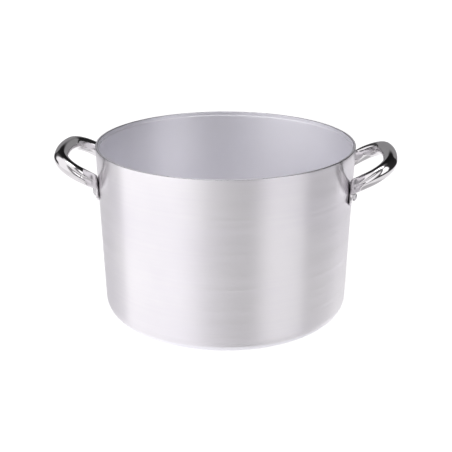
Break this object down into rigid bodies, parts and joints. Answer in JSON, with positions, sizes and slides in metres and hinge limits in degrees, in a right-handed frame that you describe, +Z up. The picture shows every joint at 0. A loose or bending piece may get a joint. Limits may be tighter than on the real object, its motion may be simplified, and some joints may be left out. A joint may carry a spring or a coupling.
{
  "type": "stock pot",
  "caption": "Deep round cooking pot with slightly tapered straight walls, a rounded base edge, a lid seat inside the rim and a riveted tubular loop handle on each side.",
  "frame": {"origin": "centre of the underside, on the table", "axes": "+Z up through the mouth, +X through the middle of the right handle"},
  "size_m": [0.377, 0.2858, 0.194],
  "materials": {
    "body_aluminium": "satin, spun and fine brushed",
    "handle_steel": "mirror-polished stainless steel",
    "rivet_steel": "plain stainless steel, tumbled"
  },
  "bodies": {
    "root": {"pot_body": "body_aluminium", "left_handle": "handle_steel", "right_handle": "handle_steel", "left_rivet_a_lower": "rivet_steel", "left_rivet_a_upper": "rivet_steel", "left_rivet_b_lower": "rivet_steel", "left_rivet_b_upper": "rivet_steel", "right_rivet_a_lower": "rivet_steel", "right_rivet_a_upper": "rivet_steel", "right_rivet_b_lower": "rivet_steel", "right_rivet_b_upper": "rivet_steel"}
  },
  "joints": []
}
